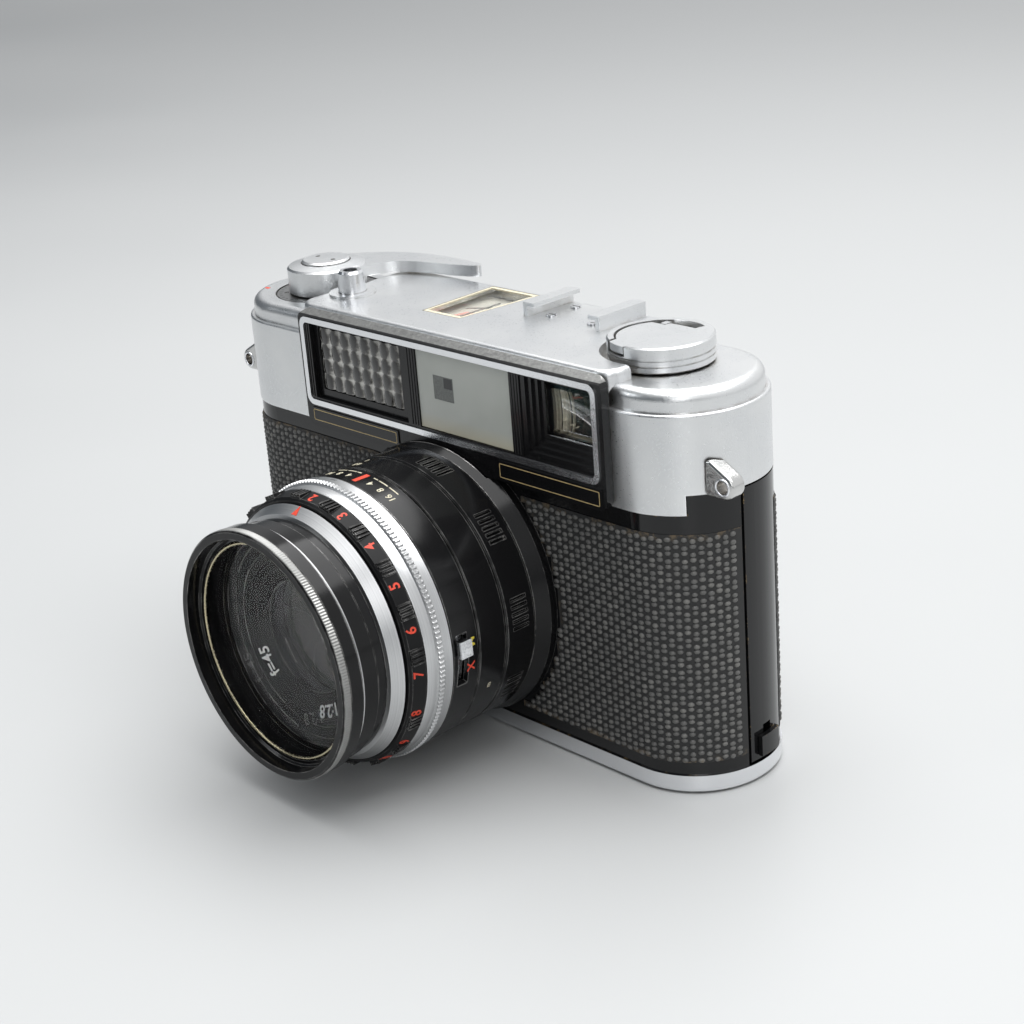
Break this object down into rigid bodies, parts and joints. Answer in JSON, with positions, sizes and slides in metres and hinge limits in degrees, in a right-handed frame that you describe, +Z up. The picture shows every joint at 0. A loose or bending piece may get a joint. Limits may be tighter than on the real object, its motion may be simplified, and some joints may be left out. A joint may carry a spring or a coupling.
{
  "type": "film camera",
  "caption": "35 mm rangefinder film camera with leaf-shutter lens, selenium meter, wind lever, folding rewind crank, hinged back and accessory shoe.",
  "frame": {"origin": "mouth of the tripod socket in the middle of the base", "axes": "-Y towards the lens, +X to the right seen from the front, +Z up"},
  "size_m": [0.1438, 0.084, 0.0865],
  "materials": {
    "satin_chrome": "satin bead-blasted chrome plate",
    "bright_chrome": "polished chrome plate",
    "silver_ring": "turned and satin plated",
    "black_enamel": "gloss black baked enamel",
    "leatherette": "black embossed leatherette",
    "black_anodised": "satin black anodised",
    "bezel_black": "gloss black moulding",
    "clear_glass": "clear polished",
    "coated_glass": "coated optical glass",
    "frosted": "frosted pane",
    "brass": "turned brass",
    "steel": "plain steel",
    "blade_steel": "blued steel",
    "dark_metal": "matt black paint"
  },
  "bodies": {
    "camera_body": {"chassis": "black_enamel", "film_gate": "steel", "base_plate": "bright_chrome", "tripod_bush": "brass", "front_leatherette": "leatherette", "top_cover": "satin_chrome", "bezel_moulding": "bezel_black", "bezel_trim": "bright_chrome", "nameplates": "bezel_black", "meter_lens_grid": "clear_glass", "selenium_cell": "dark_metal", "meter_window": "clear_glass", "meter_scale": "brass", "frosted_window": "frosted", "viewfinder_lens": "clear_glass", "viewfinder_box": "bezel_black", "beam_splitter": "clear_glass", "eyepiece_lens": "clear_glass", "accessory_shoe": "satin_chrome", "strap_lugs": "bright_chrome", "cover_screws": "bright_chrome", "hinge_pin": "steel", "lens_mount_plate": "black_anodised", "helicoid_tube": "brass"},
    "wind_lever": {"wind_lever": "satin_chrome", "wind_shaft": "satin_chrome"},
    "take_up_spool": {"take_up_spool": "dark_metal"},
    "film_sprocket": {"film_sprocket": "steel"},
    "frame_counter": {"frame_counter_dial": "satin_chrome"},
    "shutter_button": {"shutter_button": "bright_chrome"},
    "rewind_sleeve": {"rewind_sleeve": "steel"},
    "rewind_knob": {"rewind_knob": "satin_chrome", "rewind_shaft": "steel"},
    "rewind_crank": {"rewind_crank": "satin_chrome"},
    "back_door": {"back_door": "black_enamel", "back_leatherette": "leatherette", "pressure_plate": "dark_metal", "pressure_spring": "steel"},
    "door_latch": {"door_latch": "black_enamel"},
    "rewind_release_button": {"rewind_release_button": "bright_chrome"},
    "focus_ring": {"focus_ring": "black_anodised"},
    "lens_unit": {"shutter_housing": "black_anodised", "depth_scale_ring": "black_anodised", "front_trim_ring": "silver_ring", "front_barrel": "black_anodised", "name_ring": "black_anodised", "front_glass": "coated_glass", "rear_glass": "coated_glass", "filter_ring": "black_anodised", "filter_glass": "clear_glass", "shutter_blades": "blade_steel"},
    "speed_ring": {"speed_ring": "silver_ring"},
    "aperture_ring": {"aperture_ring": "black_anodised"},
    "sync_lever": {"sync_lever": "bright_chrome"},
    "meter_needle": {"meter_needle": "steel"},
    "iris_blade_1": {"iris_blade_1": "blade_steel"},
    "iris_blade_2": {"iris_blade_2": "blade_steel"},
    "iris_blade_3": {"iris_blade_3": "blade_steel"},
    "iris_blade_4": {"iris_blade_4": "blade_steel"},
    "iris_blade_5": {"iris_blade_5": "blade_steel"}
  },
  "joints": [
    {"name": "wind_lever_stroke", "type": "hinge", "parent": "camera_body", "child": "wind_lever", "pos_m": [-0.05, 0, 0.08], "axis": [0, 0, 1], "range_deg": [0, 170], "stiffness_Nm_per_rad": 0.01, "springref_deg": -17.19},
    {"name": "take_up_spool_turn", "type": "hinge", "parent": "camera_body", "child": "take_up_spool", "pos_m": [-0.05, 0, 0.03], "axis": [0, 0, 1], "range_deg": [0, 260]},
    {"name": "film_sprocket_turn", "type": "hinge", "parent": "camera_body", "child": "film_sprocket", "pos_m": [-0.0266, 0.0046, 0.03], "axis": [0, 0, 1], "range_deg": [0, 362]},
    {"name": "frame_counter_turn", "type": "hinge", "parent": "camera_body", "child": "frame_counter", "pos_m": [-0.05, 0, 0.0785], "axis": [0, 0, 1], "range_deg": [0, 9.5]},
    {"name": "shutter_button_press", "type": "slide", "parent": "camera_body", "child": "shutter_button", "axis": [0, 0, -1], "range_m": [0, 0.0022], "stiffness_N_per_m": 400},
    {"name": "rewind_lift", "type": "slide", "parent": "camera_body", "child": "rewind_sleeve", "axis": [0, 0, 1], "range_m": [0, 0.007]},
    {"name": "rewind_turn", "type": "hinge", "parent": "rewind_sleeve", "child": "rewind_knob", "pos_m": [0.047, 0.0007, 0.08], "axis": [0, 0, 1], "continuous": true},
    {"name": "rewind_crank_fold", "type": "hinge", "parent": "rewind_knob", "child": "rewind_crank", "pos_m": [0.047, 0.0067, 0.0833], "axis": [-1, 0, 0], "range_deg": [0, 104]},
    {"name": "back_door_hinge", "type": "hinge", "parent": "camera_body", "child": "back_door", "pos_m": [-0.0676, -0.0042, 0.03], "axis": [0, 0, 1], "range_deg": [0, 108]},
    {"name": "door_latch_slide", "type": "slide", "parent": "back_door", "child": "door_latch", "axis": [0, 0, 1], "range_m": [0, 0.002], "stiffness_N_per_m": 150},
    {"name": "rewind_release_press", "type": "slide", "parent": "camera_body", "child": "rewind_release_button", "axis": [0, 0, 1], "range_m": [0, 0.0012], "stiffness_N_per_m": 200},
    {"name": "focus_turn", "type": "hinge", "parent": "camera_body", "child": "focus_ring", "pos_m": [0.003, -0.028, 0.0311], "axis": [0, -1, 0], "range_deg": [0, 100]},
    {"name": "lens_extension", "type": "slide", "parent": "camera_body", "child": "lens_unit", "axis": [0, -1, 0], "range_m": [0, 0.0023]},
    {"name": "speed_ring_turn", "type": "hinge", "parent": "lens_unit", "child": "speed_ring", "pos_m": [0.003, -0.0447, 0.0311], "axis": [0, -1, 0], "range_deg": [-90, 70]},
    {"name": "aperture_ring_turn", "type": "hinge", "parent": "lens_unit", "child": "aperture_ring", "pos_m": [0.003, -0.0495, 0.0311], "axis": [0, -1, 0], "range_deg": [0, 92]},
    {"name": "sync_lever_turn", "type": "hinge", "parent": "lens_unit", "child": "sync_lever", "pos_m": [0.003, -0.039, 0.0311], "axis": [0, -1, 0], "range_deg": [-10.3, 0]},
    {"name": "meter_needle_swing", "type": "hinge", "parent": "camera_body", "child": "meter_needle", "pos_m": [-0.006, -0.006, 0.0797], "axis": [0, 0, 1], "range_deg": [-18, 18], "stiffness_Nm_per_rad": 0.000001},
    {"name": "iris_blade_1_turn", "type": "hinge", "parent": "lens_unit", "child": "iris_blade_1", "pos_m": [0.01529, -0.047, 0.03153], "axis": [0, -1, 0], "range_deg": [0, 30.5]},
    {"name": "iris_blade_2_turn", "type": "hinge", "parent": "lens_unit", "child": "iris_blade_2", "pos_m": [0.00639, -0.047, 0.04292], "axis": [0, -1, 0], "range_deg": [0, 30.5]},
    {"name": "iris_blade_3_turn", "type": "hinge", "parent": "lens_unit", "child": "iris_blade_3", "pos_m": [-0.0072, -0.047, 0.03798], "axis": [0, -1, 0], "range_deg": [0, 30.5]},
    {"name": "iris_blade_4_turn", "type": "hinge", "parent": "lens_unit", "child": "iris_blade_4", "pos_m": [-0.00669, -0.047, 0.02353], "axis": [0, -1, 0], "range_deg": [0, 30.5]},
    {"name": "iris_blade_5_turn", "type": "hinge", "parent": "lens_unit", "child": "iris_blade_5", "pos_m": [0.00721, -0.047, 0.01954], "axis": [0, -1, 0], "range_deg": [0, 30.5]}
  ],
  "couplings": [
    {"joint": "take_up_spool_turn", "follows": "wind_lever_stroke", "ratio": 1.5},
    {"joint": "film_sprocket_turn", "follows": "wind_lever_stroke", "ratio": 2.1176},
    {"joint": "frame_counter_turn", "follows": "wind_lever_stroke", "ratio": 0.053},
    {"joint": "lens_extension", "follows": "focus_turn", "m_per_rad": 0.00126},
    {"joint": "iris_blade_1_turn", "follows": "aperture_ring_turn", "ratio": 0.32},
    {"joint": "iris_blade_2_turn", "follows": "aperture_ring_turn", "ratio": 0.32},
    {"joint": "iris_blade_3_turn", "follows": "aperture_ring_turn", "ratio": 0.32},
    {"joint": "iris_blade_4_turn", "follows": "aperture_ring_turn", "ratio": 0.32},
    {"joint": "iris_blade_5_turn", "follows": "aperture_ring_turn", "ratio": 0.32}
  ]
}
